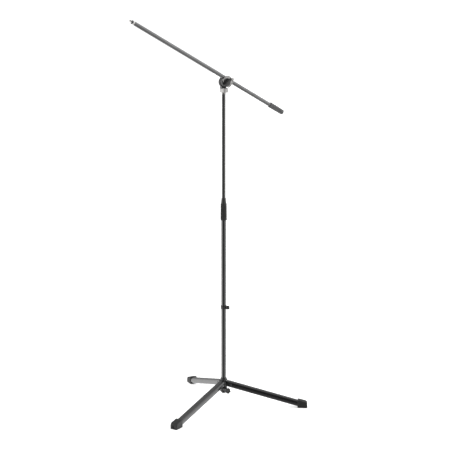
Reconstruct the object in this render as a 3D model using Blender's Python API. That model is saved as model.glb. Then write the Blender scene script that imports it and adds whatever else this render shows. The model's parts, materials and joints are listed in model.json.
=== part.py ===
"""Boom microphone stand: folding tripod base, telescopic column and tilting boom arm.

Metres, +Z up.  The origin is the middle of the stand's footprint, at floor level.  The
boom's thread end points towards -X, and the first leg points nearly along +X.
"""
import math

import bmesh
import bpy
from mathutils import Matrix, Vector

MM = 0.001
GAP = 0.3 * MM
FULL_TURN = 2.0 * math.pi
SIDE_ON = Matrix.Rotation(FULL_TURN / 4, 4, "X")

# Column, whose axis stands a little off the middle of the footprint
COLUMN_X = 3.0 * MM
COLUMN_Y = -12.7 * MM
LOWER_TUBE_R = 10.5 * MM
LOWER_TUBE_WALL = 1.2 * MM
LOWER_TUBE_BOTTOM = 58.0 * MM
LOWER_TUBE_TOP = 836.0 * MM
UPPER_TUBE_R = 8.0 * MM
UPPER_TUBE_WALL = 1.2 * MM
UPPER_TUBE_BOTTOM = 518.0 * MM
UPPER_TUBE_TOP = 1314.0 * MM
COLUMN_BORE_R = LOWER_TUBE_R + GAP
MAST_BORE_R = UPPER_TUBE_R + GAP

# Clutch that holds the column's height
CLUTCH_BOTTOM = 798.0 * MM
CLUTCH_TOP = 867.0 * MM
CLUTCH_CAP_TOP = 890.0 * MM
CLUTCH_BOTTOM_R = 13.3 * MM
CLUTCH_TOP_R = 12.8 * MM
CLUTCH_BODY_R = 11.6 * MM

# Tripod base
LEG_COUNT = 3
LEG_FIRST_AZIMUTH = math.radians(-4.4)
LEG_SLOPE = math.radians(15.0)
LEG_PIN_RADIUS = 30.5 * MM
LEG_PIN_Z = 93.6 * MM
LEG_WIDTH = 28.6 * MM
LEG_HEIGHT = 25.0 * MM
LEG_CORNER = 9.0 * MM
LEG_WALL = 1.5 * MM
LEG_INNER_TOP = -19.6 * MM
LEG_INNER_BOTTOM = -8.6 * MM
LEG_END = 303.4 * MM
LEG_UNDERCUT = 13.0 * MM
PIN_R = 3.0 * MM
LUG_HALF_WIDTH = 8.0 * MM
LUG_END_R = 8.0 * MM
SLEEVE_R = 15.5 * MM
SLEEVE_BOTTOM = 62.0 * MM
SLEEVE_TOP = 103.5 * MM
FOOT_START = 312.8 * MM
FOOT_END = 355.0 * MM
FOOT_HALF_WIDTH = 16.0 * MM

# Base clamp screw, between the first and the last leg
CLAMP_AZIMUTH = LEG_FIRST_AZIMUTH - math.radians(60.0)
CLAMP_Z = 74.5 * MM
CLAMP_SCREW_R = 3.0 * MM
CLAMP_KNOB_R = 12.0 * MM
CLAMP_KNOB_START = 32.0 * MM
CLAMP_KNOB_END = 46.0 * MM

# Head
PIVOT_Z = 1363.2 * MM
BOOM_HEADING = math.radians(27.0)
BOOM_ELEVATION = math.radians(28.75)
BASE_BLOCK_BOTTOM = 1321.3 * MM
BASE_BLOCK_TOP = 1337.0 * MM
BASE_BLOCK_BACK = -16.0 * MM
BASE_BLOCK_FRONT = 22.0 * MM
BASE_BLOCK_WIDTH = 21.3 * MM
EAR_R = 21.5 * MM
EAR_BACK = -6.0 * MM
EAR_FRONT = 6.0 * MM
BOLT_R = 4.0 * MM
BOLT_BORE_R = 4.35 * MM
DISC_FRONT = 8.3 * MM
SADDLE_BACK = DISC_FRONT + GAP
SADDLE_FRONT = 27.0 * MM
SADDLE_R = 21.0 * MM
PLATE_BACK = SADDLE_FRONT + GAP
PLATE_FRONT = 30.8 * MM
WASHER_R = 15.5 * MM
WASHER_FRONT = 32.3 * MM
KNOB_BACK = WASHER_FRONT + GAP
KNOB_FRONT = 44.5 * MM
KNOB_ANGLE = math.radians(-14.6)
BOLT_END = 40.0 * MM

# Boom
BOOM_R = 8.0 * MM
BOOM_WALL = 1.1 * MM
BOOM_ABOVE_BOLT = 13.3 * MM
BOOM_FROM_COLUMN = 19.0 * MM
BOOM_TIP = 477.5 * MM
BOOM_TUBE_END = 454.5 * MM
BOOM_GRIP_END = -295.5 * MM
BOOM_GRIP_START = -224.5 * MM
THREAD_R = 4.76 * MM

# Cable clip on the lower tube
CLIP_Z = 428.5 * MM
CLIP_HALF_HEIGHT = 7.5 * MM
CLIP_AZIMUTH = math.radians(-35.0)
CLIP_BAND_R = 12.7 * MM
CLIP_LOOP_OFFSET = 19.4 * MM
CLIP_LOOP_R = 7.5 * MM
CLIP_LOOP_BORE_R = 5.2 * MM

ROUND_STEPS = 28
SMALL_STEPS = 16
SMOOTH_ANGLE = math.radians(35.0)
MERGE = 1e-6

BLACK_STEEL = ((0.012, 0.012, 0.013), 0.38, 0.0)
BLACK_CASTING = ((0.010, 0.010, 0.011), 0.45, 0.0)
BLACK_PLASTIC = ((0.014, 0.014, 0.014), 0.50, 0.0)
BLACK_RUBBER = ((0.020, 0.020, 0.020), 0.80, 0.0)
ZINC = ((0.58, 0.58, 0.57), 0.32, 1.0)
STEEL = ((0.62, 0.62, 0.61), 0.25, 1.0)
BRASS = ((0.70, 0.52, 0.24), 0.30, 1.0)
NYLON = ((0.70, 0.68, 0.62), 0.55, 0.0)


# Building blocks


def clear_scene():
    for obj in list(bpy.data.objects):
        bpy.data.objects.remove(obj, do_unlink=True)


def principled(name, finish):
    colour, roughness, metallic = finish
    material = bpy.data.materials.new(name)
    material.use_nodes = True
    shader = material.node_tree.nodes["Principled BSDF"]
    shader.inputs["Base Color"].default_value = (*colour, 1.0)
    shader.inputs["Roughness"].default_value = roughness
    shader.inputs["Metallic"].default_value = metallic
    return material


def add_object(name, mesh_bm, finish=None, parent=None, matrix=None):
    """Turn a bmesh into an object; with no finish it is a hidden cutter or helper.

    With no parent it is placed from the foot of the column's axis.
    """
    bmesh.ops.recalc_face_normals(mesh_bm, faces=mesh_bm.faces)
    mesh = bpy.data.meshes.new(name)
    mesh_bm.to_mesh(mesh)
    mesh_bm.free()
    obj = bpy.data.objects.new(name, mesh)
    bpy.context.collection.objects.link(obj)
    obj.parent = parent or bpy.data.objects["column_axis"]
    obj.matrix_basis = matrix or Matrix.Identity(4)
    if finish is None:
        obj.hide_render = True
        obj.display_type = "WIRE"
    else:
        mesh.materials.append(principled(name + "_finish", finish))
        mesh.shade_smooth()
        mesh.set_sharp_from_angle(angle=SMOOTH_ANGLE)
    return obj


def add_frame(name, matrix, parent=None):
    frame = bpy.data.objects.new(name, None)
    bpy.context.collection.objects.link(frame)
    frame.empty_display_size = 20.0 * MM
    frame.parent = parent
    frame.matrix_basis = matrix
    return frame


def move(x=0.0, y=0.0, z=0.0):
    return Matrix.Translation((x, y, z))


def turn(angle, axis):
    return Matrix.Rotation(angle, 4, axis)


def turned(profile, steps=ROUND_STEPS):
    """Turn a closed (radius, height) outline about Z."""
    bm = bmesh.new()
    verts = [bm.verts.new((radius, 0.0, height)) for radius, height in profile]
    edges = [bm.edges.new((verts[i - 1], verts[i])) for i in range(len(verts))]
    edges = [e for e in edges if max(v.co.x for v in e.verts) > MERGE]
    bmesh.ops.spin(
        bm, geom=verts + edges, cent=(0, 0, 0), axis=(0, 0, 1),
        angle=FULL_TURN, steps=steps, use_merge=True, use_duplicate=False,
    )
    bmesh.ops.remove_doubles(bm, verts=bm.verts, dist=MERGE)
    loose = [e for e in bm.edges if not e.link_faces]
    bmesh.ops.delete(bm, geom=loose, context="EDGES")
    return bm


def rod(radius, bottom, top, steps=ROUND_STEPS):
    return turned([(0, bottom), (radius, bottom), (radius, top), (0, top)], steps)


def ring(inner, outer, bottom, top, steps=ROUND_STEPS):
    return turned([(inner, bottom), (outer, bottom), (outer, top), (inner, top)], steps)


def extruded(outline, bottom, top):
    """Extrude a closed (x, y) outline from one height to another."""
    bm = bmesh.new()
    face = bm.faces.new([bm.verts.new((x, y, bottom)) for x, y in outline])
    out = bmesh.ops.extrude_face_region(bm, geom=[face])
    moved = [v for v in out["geom"] if isinstance(v, bmesh.types.BMVert)]
    bmesh.ops.translate(bm, verts=moved, vec=(0, 0, top - bottom))
    return bm


def block(x_range, y_range, z_range):
    (x0, x1), (y0, y1) = x_range, y_range
    return extruded([(x0, y0), (x1, y0), (x1, y1), (x0, y1)], *z_range)


def arc(centre, radius, start, end, steps):
    """Points on a circle from one angle to another, both ends included."""
    cx, cy = centre
    angles = [start + (end - start) * i / steps for i in range(steps + 1)]
    return [(cx + radius * math.cos(a), cy + radius * math.sin(a)) for a in angles]


def rounded_rectangle(width, height, corner, steps=4):
    half_w, half_h = width / 2 - corner, height / 2 - corner
    points = []
    for quarter, (sx, sy) in enumerate(((1, 1), (-1, 1), (-1, -1), (1, -1))):
        start = quarter * math.pi / 2
        points += arc((sx * half_w, sy * half_h), corner, start, start + math.pi / 2, steps)
    return points


def bevelled(bm, width, segments=2, angle=math.radians(40.0)):
    """Round the edges that are sharper than an angle."""
    edges = [e for e in bm.edges if e.is_manifold and e.calc_face_angle() > angle]
    bmesh.ops.bevel(
        bm, geom=edges, offset=width, segments=segments, profile=0.5, affect="EDGES",
        clamp_overlap=True,
    )
    return bm


def boolean(obj, operation, helper, solver):
    modifier = obj.modifiers.new(operation.title() + " " + helper.name, "BOOLEAN")
    modifier.operation = operation
    modifier.solver = solver
    modifier.object = helper


def cut(obj, name, bm, parent=None, matrix=None, solver="EXACT"):
    boolean(obj, "DIFFERENCE", add_object(name, bm, None, parent, matrix), solver)


def fuse(obj, name, bm, parent=None, matrix=None, solver="EXACT"):
    boolean(obj, "UNION", add_object(name, bm, None, parent, matrix), solver)


# Frames


def leg_frames(column):
    """One frame on each leg pin: X outwards along the leg, Y along the pin."""
    frames = []
    for index in range(LEG_COUNT):
        azimuth = LEG_FIRST_AZIMUTH - index * FULL_TURN / LEG_COUNT
        place = turn(azimuth, "Z") @ move(LEG_PIN_RADIUS, 0, LEG_PIN_Z) @ turn(LEG_SLOPE, "Y")
        frames.append(add_frame(f"leg_pivot_{index + 1}", place, column))
    return frames


def clamp_frame(column):
    """Z runs out of the hub along the clamp screw."""
    place = turn(CLAMP_AZIMUTH, "Z") @ move(0, 0, CLAMP_Z) @ turn(math.pi / 2, "Y")
    return add_frame("clamp_axis", place, column)


def head_frame(column):
    """X up, Y level towards the boom's thread end, Z out along the tilt bolt."""
    up = Vector((0, 0, 1))
    level = Vector((-math.cos(BOOM_HEADING), -math.sin(BOOM_HEADING), 0))
    out = up.cross(level)
    axes = Matrix((up, level, out)).transposed().to_4x4()
    return add_frame("tilt_axis", move(0, 0, PIVOT_Z) @ axes, column)


# Tripod base


def leg_mitre():
    """Cutter that trims a leg's inner end so that only its top reaches the column."""
    top, bottom = LEG_HEIGHT, -LEG_HEIGHT
    slant = (LEG_INNER_BOTTOM - LEG_INNER_TOP) / LEG_HEIGHT
    x_top = LEG_INNER_TOP - slant * (top - LEG_HEIGHT / 2)
    x_bottom = LEG_INNER_TOP + slant * (LEG_HEIGHT / 2 - bottom)
    far = 60.0 * MM
    outline = [(x_top, top), (-far, top), (-far, bottom), (x_bottom, bottom)]
    return extruded(outline, -LEG_WIDTH, LEG_WIDTH)


def along_leg(bm):
    """Lay an outline extruded on Z along the leg, its first axis across the leg."""
    bmesh.ops.transform(bm, matrix=turn(math.pi / 2, "Y") @ turn(math.pi / 2, "Z"), verts=bm.verts)
    return bm


def make_leg(index, frame):
    """Flat-oval steel tube, open underneath at its inner end so that it can fold."""
    start = LEG_INNER_TOP - 3.0 * MM
    outer = extruded(rounded_rectangle(LEG_WIDTH, LEG_HEIGHT, LEG_CORNER), start, LEG_END)
    leg = add_object(f"leg_{index}", along_leg(outer), BLACK_STEEL, frame)
    inner = rounded_rectangle(LEG_WIDTH - 2 * LEG_WALL, LEG_HEIGHT - 2 * LEG_WALL, LEG_CORNER - LEG_WALL)
    bore = extruded(inner, start - 5.0 * MM, LEG_END + 5.0 * MM)
    cut(leg, f"leg_{index}_bore", along_leg(bore), frame)
    cut(leg, f"leg_{index}_mitre", leg_mitre(), frame, SIDE_ON)
    half_slot, slot_top = LUG_HALF_WIDTH + 2 * GAP, -LEG_HEIGHT / 3
    undercut = block((2 * start, LEG_UNDERCUT), (-half_slot, half_slot), (-LEG_HEIGHT, slot_top))
    cut(leg, f"leg_{index}_undercut", undercut, frame)
    pin_hole = rod(PIN_R + GAP, -LEG_WIDTH, LEG_WIDTH, SMALL_STEPS)
    cut(leg, f"leg_{index}_pin_hole", pin_hole, frame, SIDE_ON)


def make_pin(index, frame):
    """Rivet with a formed head at each side of the leg."""
    reach, head_r, head = LEG_WIDTH / 2 + GAP, 5.2 * MM, 1.6 * MM
    crown = head_r - 1.0 * MM
    profile = [
        (0, -reach - head), (crown, -reach - head), (head_r, -reach - head / 2),
        (head_r, -reach), (PIN_R, -reach), (PIN_R, reach),
        (head_r, reach), (head_r, reach + head / 2), (crown, reach + head), (0, reach + head),
    ]
    add_object(f"leg_pin_{index}", turned(profile, SMALL_STEPS), STEEL, frame, SIDE_ON)


def foot_outline():
    """Side view of a rubber foot: (distance from the column, height)."""
    back_top, toe_top = 33.3 * MM, 22.0 * MM
    sole_lip = 1.5 * MM
    toe_radius = 8.0 * MM
    toe_centre = (FOOT_END - toe_radius, toe_top - toe_radius / 2)
    toe = arc(toe_centre, toe_radius, 0.0, math.radians(75.0), 4)
    return [
        (FOOT_START, 0.0), (FOOT_END - sole_lip, 0.0), (FOOT_END, sole_lip), *toe,
        (FOOT_START + 3.5 * MM, back_top), (FOOT_START + 1.0 * MM, back_top - 1.5 * MM),
    ]


def make_foot(index, frame):
    """Rubber foot with a flat sole, pushed over the end of a leg."""
    level = turn(-LEG_SLOPE, "Y") @ move(-LEG_PIN_RADIUS, 0, -LEG_PIN_Z)
    bm = extruded(foot_outline(), -FOOT_HALF_WIDTH, FOOT_HALF_WIDTH)
    bm = bevelled(bm, 2.0 * MM, 1, math.radians(60.0))
    foot = add_object(f"foot_{index}", bm, BLACK_RUBBER, frame, level @ SIDE_ON)
    clear = 2 * GAP
    opening = rounded_rectangle(LEG_WIDTH + clear, LEG_HEIGHT + clear, LEG_CORNER + GAP)
    socket = extruded(opening, LEG_END - 80.0 * MM, LEG_END + GAP)
    cut(foot, f"foot_{index}_socket", along_leg(socket), frame)


def make_hub(frames, clamp):
    """Casting that the column slides in, with a lug for each leg and a clamp boss."""
    solver = "MANIFOLD"
    hub = add_object("base_hub", rod(SLEEVE_R, SLEEVE_BOTTOM, SLEEVE_TOP), BLACK_CASTING)
    root, web = -19.0 * MM, -12.0 * MM
    lug_outline = [
        *arc((0, 0), LUG_END_R, -math.pi / 2, math.pi / 2, 8), (root, LUG_END_R), (root, web),
        (-6.0 * MM, web + 1.5 * MM),
    ]
    for index, frame in enumerate(frames, 1):
        lug = extruded(lug_outline, -LUG_HALF_WIDTH, LUG_HALF_WIDTH)
        fuse(hub, f"hub_lug_{index}", lug, frame, SIDE_ON, solver)
        boss_end = LEG_WIDTH / 2 - LEG_WALL - GAP
        boss = rod(4.9 * MM, -boss_end, boss_end, SMALL_STEPS)
        fuse(hub, f"hub_pin_boss_{index}", boss, frame, SIDE_ON, solver)
    clamp_boss = rod(7.5 * MM, 6.0 * MM, 24.0 * MM, SMALL_STEPS)
    fuse(hub, "hub_clamp_boss", clamp_boss, clamp, None, solver)
    column_bore = rod(COLUMN_BORE_R, 40.0 * MM, 130.0 * MM)
    cut(hub, "hub_column_bore", column_bore, None, None, solver)
    for index, frame in enumerate(frames, 1):
        hole = rod(PIN_R + GAP, -LEG_WIDTH / 2, LEG_WIDTH / 2, SMALL_STEPS)
        cut(hub, f"hub_pin_hole_{index}", hole, frame, SIDE_ON, solver)
    screw_hole = rod(CLAMP_SCREW_R + 0.4 * MM, 1.0 * MM, 30.0 * MM, SMALL_STEPS)
    cut(hub, "hub_clamp_hole", screw_hole, clamp, None, solver)


def make_clamp(clamp):
    """Lobed knob on a steel screw that presses a nylon pad against the column."""
    pad_front = 13.0 * MM
    pad = add_object("clamp_pad", rod(CLAMP_SCREW_R, 8.0 * MM, pad_front, SMALL_STEPS), NYLON, clamp)
    cut(pad, "clamp_pad_seat", rod(COLUMN_BORE_R, 40.0 * MM, 130.0 * MM))
    socket_depth = 9.0 * MM
    screw_end = CLAMP_KNOB_START + socket_depth
    screw = rod(CLAMP_SCREW_R, pad_front + GAP, screw_end, SMALL_STEPS)
    add_object("clamp_screw", screw, STEEL, clamp)
    lobes, lobe_depth, points = 5, 1.3 * MM, 40
    outline = []
    for i in range(points):
        angle = FULL_TURN * i / points
        radius = CLAMP_KNOB_R - lobe_depth + lobe_depth * math.cos(lobes * angle)
        outline.append((radius * math.cos(angle), radius * math.sin(angle)))
    bm = bevelled(extruded(outline, CLAMP_KNOB_START, CLAMP_KNOB_END), 1.5 * MM, 1)
    knob = add_object("clamp_knob", bm, BLACK_PLASTIC, clamp)
    bore = rod(CLAMP_SCREW_R + GAP, CLAMP_KNOB_START - 5.0 * MM, screw_end + GAP, SMALL_STEPS)
    cut(knob, "clamp_knob_bore", bore, clamp)


# Column


def make_lower_column():
    inner = LOWER_TUBE_R - LOWER_TUBE_WALL
    tube = ring(inner, LOWER_TUBE_R, LOWER_TUBE_BOTTOM, LOWER_TUBE_TOP)
    add_object("lower_tube", tube, BLACK_STEEL)
    flange = 2.0 * MM
    plug_r = inner - GAP
    profile = [
        (0, LOWER_TUBE_BOTTOM - flange), (LOWER_TUBE_R - flange / 2, LOWER_TUBE_BOTTOM - flange),
        (LOWER_TUBE_R, LOWER_TUBE_BOTTOM - flange / 2), (LOWER_TUBE_R, LOWER_TUBE_BOTTOM - GAP),
        (plug_r, LOWER_TUBE_BOTTOM - GAP), (plug_r, LOWER_TUBE_BOTTOM + 14.0 * MM),
        (0, LOWER_TUBE_BOTTOM + 14.0 * MM),
    ]
    add_object("tube_end_plug", turned(profile), BLACK_PLASTIC)
    cone_bottom, cone_top = 111.3 * MM, 123.5 * MM
    profile = [
        (COLUMN_BORE_R, cone_bottom), (15.5 * MM, cone_bottom), (15.2 * MM, cone_bottom + 2.0 * MM),
        (13.4 * MM, cone_bottom + 5.0 * MM), (12.0 * MM, cone_top - 1.0 * MM),
        (11.6 * MM, cone_top), (COLUMN_BORE_R, cone_top),
    ]
    add_object("lock_cone", turned(profile), BLACK_CASTING)


def make_clutch():
    """Threaded body on the lower tube, split collet, twist sleeve and its cap."""
    body_top, ledge = CLUTCH_TOP - 5.0 * MM, LOWER_TUBE_TOP + 6.0 * MM
    seat_r, body_bottom = 10.2 * MM, CLUTCH_BOTTOM + 4.0 * MM
    tube_end = LOWER_TUBE_TOP + GAP
    body = [
        (COLUMN_BORE_R, body_bottom), (CLUTCH_BODY_R, body_bottom), (CLUTCH_BODY_R, body_top),
        (seat_r, body_top), (seat_r, ledge), (MAST_BORE_R, ledge),
        (MAST_BORE_R, tube_end), (COLUMN_BORE_R, tube_end),
    ]
    add_object("clutch_body", turned(body), BLACK_PLASTIC)
    collet_top, collet_r = body_top + 2.5 * MM, seat_r - GAP
    collet = add_object("clutch_collet", ring(MAST_BORE_R, collet_r, ledge + GAP, collet_top), NYLON)
    slit = block((0, 2 * collet_r), (-1.0 * MM, 1.0 * MM), (ledge - GAP, collet_top + GAP))
    cut(collet, "clutch_collet_slit", slit)
    bore_r, land_r = CLUTCH_BODY_R + GAP, seat_r + GAP
    land = body_top + GAP
    sleeve = [
        (bore_r, CLUTCH_BOTTOM), (CLUTCH_BOTTOM_R, CLUTCH_BOTTOM), (CLUTCH_TOP_R, CLUTCH_TOP - 1.0 * MM),
        (CLUTCH_TOP_R - 1.0 * MM, CLUTCH_TOP), (land_r, CLUTCH_TOP), (land_r, land), (bore_r, land),
    ]
    add_object("clutch_sleeve", turned(sleeve), BLACK_RUBBER)
    cap_bottom = CLUTCH_TOP + GAP
    cap = [
        (MAST_BORE_R, cap_bottom), (11.2 * MM, cap_bottom), (10.4 * MM, cap_bottom + 7.0 * MM),
        (9.3 * MM, CLUTCH_CAP_TOP - 1.0 * MM), (8.9 * MM, CLUTCH_CAP_TOP), (MAST_BORE_R, CLUTCH_CAP_TOP),
    ]
    add_object("clutch_cap", turned(cap), BLACK_PLASTIC)


def make_mast():
    """Upper tube with its guide plug below and its threaded end above."""
    inner = UPPER_TUBE_R - UPPER_TUBE_WALL
    tube = ring(inner, UPPER_TUBE_R, UPPER_TUBE_BOTTOM, UPPER_TUBE_TOP)
    add_object("upper_tube", tube, BLACK_STEEL)
    guide_r, spigot_r = LOWER_TUBE_R - LOWER_TUBE_WALL - GAP, inner - GAP
    guide_top = UPPER_TUBE_BOTTOM - GAP
    guide = [
        (0, guide_top - 18.0 * MM), (guide_r, guide_top - 18.0 * MM), (guide_r, guide_top),
        (spigot_r, guide_top), (spigot_r, guide_top + 20.0 * MM), (0, guide_top + 20.0 * MM),
    ]
    add_object("guide_plug", turned(guide), NYLON)
    collar = UPPER_TUBE_TOP + GAP
    thread_top, collar_r = BASE_BLOCK_TOP - 3.0 * MM, 9.0 * MM
    stud = [
        (0, collar - 16.0 * MM), (spigot_r, collar - 16.0 * MM), (spigot_r, collar),
        (collar_r, collar), (collar_r, BASE_BLOCK_BOTTOM - GAP), (THREAD_R, BASE_BLOCK_BOTTOM - GAP),
        (THREAD_R, thread_top), (0, thread_top),
    ]
    add_object("top_stud", turned(stud), STEEL)


def make_cable_clip():
    """Plastic band that grips the lower tube, with an open loop for the cable."""
    low, high, lip = CLIP_Z - CLIP_HALF_HEIGHT, CLIP_Z + CLIP_HALF_HEIGHT, 2.0 * MM
    band = [
        (COLUMN_BORE_R, low), (CLIP_BAND_R - lip / 2, low), (CLIP_BAND_R, low + lip),
        (CLIP_BAND_R, high - lip), (CLIP_BAND_R - lip / 2, high), (COLUMN_BORE_R, high),
    ]
    place = turn(CLIP_AZIMUTH, "Z")
    clip = add_object("cable_clip", turned(band), BLACK_PLASTIC, None, place)
    loop_low, loop_high = low + lip / 2, high - lip / 2
    loop = [
        (CLIP_LOOP_BORE_R, loop_low), (CLIP_LOOP_R - lip, loop_low), (CLIP_LOOP_R, loop_low + lip),
        (CLIP_LOOP_R, loop_high - lip), (CLIP_LOOP_R - lip, loop_high), (CLIP_LOOP_BORE_R, loop_high),
    ]
    loop_place = place @ move(CLIP_LOOP_OFFSET)
    fuse(clip, "cable_clip_loop", turned(loop, SMALL_STEPS), None, loop_place)
    reach = (low - lip, high + lip)
    cut(clip, "cable_clip_bore", rod(COLUMN_BORE_R, *reach))
    cut(clip, "cable_clip_hole", rod(CLIP_LOOP_BORE_R, *reach, SMALL_STEPS), None, loop_place)
    mouth = block((0, 2 * CLIP_LOOP_R), (-1.8 * MM, 1.8 * MM), reach)
    cut(clip, "cable_clip_mouth", mouth, None, loop_place @ turn(math.radians(50.0), "Z"))


# Head


def make_swivel_base(head):
    """Bright block screwed on the column's stud, and the black ear standing on it."""
    half = BASE_BLOCK_WIDTH / 2
    low, high = BASE_BLOCK_BOTTOM - PIVOT_Z, BASE_BLOCK_TOP - PIVOT_Z
    front_rise = 2.3 * MM
    outline = [
        (low, BASE_BLOCK_BACK), (high, BASE_BLOCK_BACK), (high, 8.0 * MM),
        (high + front_rise, 11.0 * MM), (high + front_rise, BASE_BLOCK_FRONT), (low, BASE_BLOCK_FRONT),
    ]
    bm = bevelled(extruded(outline, -half, half), 2.0 * MM, 2, math.radians(60.0))
    base = add_object("swivel_base", bm, ZINC, head, SIDE_ON)
    thread_hole = rod(THREAD_R + GAP, BASE_BLOCK_BOTTOM - 5.0 * MM, BASE_BLOCK_TOP - 2.5 * MM)
    cut(base, "swivel_base_thread", thread_hole)
    foot_top, foot_half = high + GAP, half - 0.5 * MM
    ear = add_object("tilt_ear", rod(EAR_R, EAR_BACK, EAR_FRONT), BLACK_CASTING, head)
    stem_depth = (BASE_BLOCK_BACK + 1.0 * MM, EAR_FRONT - GAP)
    stem = block((foot_top, -9.5 * MM), (-foot_half, foot_half), stem_depth)
    fuse(ear, "tilt_ear_stem", stem, head)
    cut(ear, "tilt_ear_bore", rod(BOLT_BORE_R, -20.0 * MM, 20.0 * MM, SMALL_STEPS), head)
    recess = rod(7.8 * MM, EAR_BACK - 5.0 * MM, EAR_BACK + 3.0 * MM, 6)
    cut(ear, "tilt_ear_bolt_seat", recess, head)
    for side, y in (("1", -7.4 * MM), ("2", 7.4 * MM)):
        make_ear_screw(side, y, base, ear, head)


def make_ear_screw(side, y, base, ear, head):
    """Countersunk screw from under the swivel base into the ear."""
    shank_r, head_r, head_h = 1.25 * MM, 2.3 * MM, 2.0 * MM
    low, top = BASE_BLOCK_BOTTOM - PIVOT_Z, -18.0 * MM
    upright = move(0, y, 0) @ turn(math.pi / 2, "Y")
    profile = [
        (0, low + GAP), (head_r, low + GAP), (head_r, low + head_h), (shank_r, low + head_h),
        (shank_r, top), (0, top),
    ]
    add_object(f"ear_screw_{side}", turned(profile, 16), STEEL, head, upright)
    outer = [
        (0, low - 2 * GAP), (head_r + GAP, low - 2 * GAP), (head_r + GAP, low + head_h + GAP),
        (shank_r + GAP, low + head_h + GAP), (shank_r + GAP, top + GAP), (0, top + GAP),
    ]
    cut(base, f"swivel_base_hole_{side}", turned(outer, 16), head, upright)
    cut(ear, f"tilt_ear_hole_{side}", turned(outer, 16), head, upright)


def make_tilt_hardware(head, clamp):
    """Bolt, friction disc, washer and the wing knob with its brass nut."""
    disc = ring(BOLT_BORE_R, EAR_R - 2.5 * MM, EAR_FRONT + GAP, DISC_FRONT)
    add_object("friction_disc", disc, BLACK_RUBBER, clamp)
    head_top = EAR_BACK + 3.0 * MM - GAP
    bolt = add_object("tilt_bolt", rod(BOLT_R, head_top - 0.5 * MM, BOLT_END, SMALL_STEPS), STEEL, head)
    fuse(bolt, "tilt_bolt_head", rod(7.3 * MM, head_top - 4.5 * MM, head_top, 6), head)
    washer = ring(BOLT_BORE_R, WASHER_R, PLATE_FRONT + GAP, WASHER_FRONT)
    add_object("thrust_washer", washer, BLACK_PLASTIC, head)
    nut_r, nut_front = 6.0 * MM, KNOB_BACK + 6.5 * MM
    nut = add_object("knob_nut", rod(nut_r, KNOB_BACK, nut_front, 6), BRASS, clamp)
    cut(nut, "knob_nut_bore", rod(BOLT_BORE_R, KNOB_BACK - GAP, nut_front + GAP, SMALL_STEPS), clamp)
    wing_r, wing_half, tip_half = 20.7 * MM, 6.2 * MM, 5.2 * MM
    outline = [
        *arc((wing_r - tip_half, 0), tip_half, -math.pi / 2, math.pi / 2, 6), (6.0 * MM, wing_half),
        (-6.0 * MM, wing_half), *arc((tip_half - wing_r, 0), tip_half, math.pi / 2, 3 * math.pi / 2, 6),
        (-6.0 * MM, -wing_half), (6.0 * MM, -wing_half),
    ]
    wings = bevelled(extruded(outline, KNOB_BACK + 4.0 * MM, KNOB_FRONT), 1.5 * MM, 1)
    knob = add_object("wing_knob", wings, BLACK_PLASTIC, clamp, turn(KNOB_ANGLE, "Z"))
    fuse(knob, "wing_knob_hub", rod(8.4 * MM, KNOB_BACK, KNOB_FRONT - 2.0 * MM, SMALL_STEPS), clamp)
    cut(knob, "wing_knob_pocket", rod(nut_r + 2 * GAP, KNOB_BACK - 5.0 * MM, nut_front + GAP, 6), clamp)
    cut(knob, "wing_knob_bore", rod(BOLT_BORE_R, KNOB_BACK, BOLT_END + GAP, SMALL_STEPS), clamp)


def plate_outline():
    """Front view of the clamp plate: (up across the boom, along the boom to its tip)."""
    crown_r, crown = 22.0 * MM, (5.0 * MM, -1.0 * MM)
    tail = [
        (-10.0 * MM, 8.0 * MM), (-14.0 * MM, -3.0 * MM), (-16.5 * MM, -12.0 * MM),
        (-16.0 * MM, -17.0 * MM), (-13.0 * MM, -20.5 * MM),
    ]
    flank = [(-5.0 * MM, -23.5 * MM), (4.0 * MM, -24.8 * MM)]
    horn = [
        (26.0 * MM, -23.2 * MM), (28.5 * MM, -21.5 * MM), (28.5 * MM, -17.5 * MM),
        (26.0 * MM, -12.5 * MM),
    ]
    return [*arc(crown, crown_r, math.radians(-15.0), math.radians(110.0), 14), *tail, *flank, *horn]


def make_boom_clamp(clamp):
    """Saddle behind and below the boom, and the bright plate that closes on it."""
    centre_up = 2.5 * MM
    reach = (-60.0 * MM, 60.0 * MM)
    body = rod(SADDLE_R, SADDLE_BACK, SADDLE_FRONT)
    saddle = add_object("boom_saddle", body, BLACK_CASTING, clamp, move(centre_up))
    above = block((BOOM_ABOVE_BOLT, reach[1]), reach, (BOOM_FROM_COLUMN - BOOM_R - GAP, reach[1]))
    cut(saddle, "boom_saddle_step", above, clamp)
    groove = rod(BOOM_R + GAP, *reach)
    lying = move(BOOM_ABOVE_BOLT, 0, BOOM_FROM_COLUMN) @ turn(-math.pi / 2, "X")
    cut(saddle, "boom_saddle_groove", groove, clamp, lying)
    cut(saddle, "boom_saddle_bore", rod(BOLT_BORE_R, *reach, SMALL_STEPS), clamp)
    lip_bottom, lip_back = BOOM_ABOVE_BOLT + BOOM_R + GAP, BASE_BLOCK_FRONT + 2 * GAP
    plate_bm = bevelled(extruded(plate_outline(), lip_back, PLATE_FRONT), 1.2 * MM, 1)
    plate = add_object("clamp_plate", plate_bm, ZINC, clamp)
    hollow = block((reach[0], lip_bottom), reach, (lip_back - 5.0 * MM, PLATE_BACK))
    cut(plate, "clamp_plate_hollow", hollow, clamp)
    cut(plate, "clamp_plate_bore", rod(BOLT_BORE_R, 0, reach[1], SMALL_STEPS), clamp)


# Boom


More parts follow.
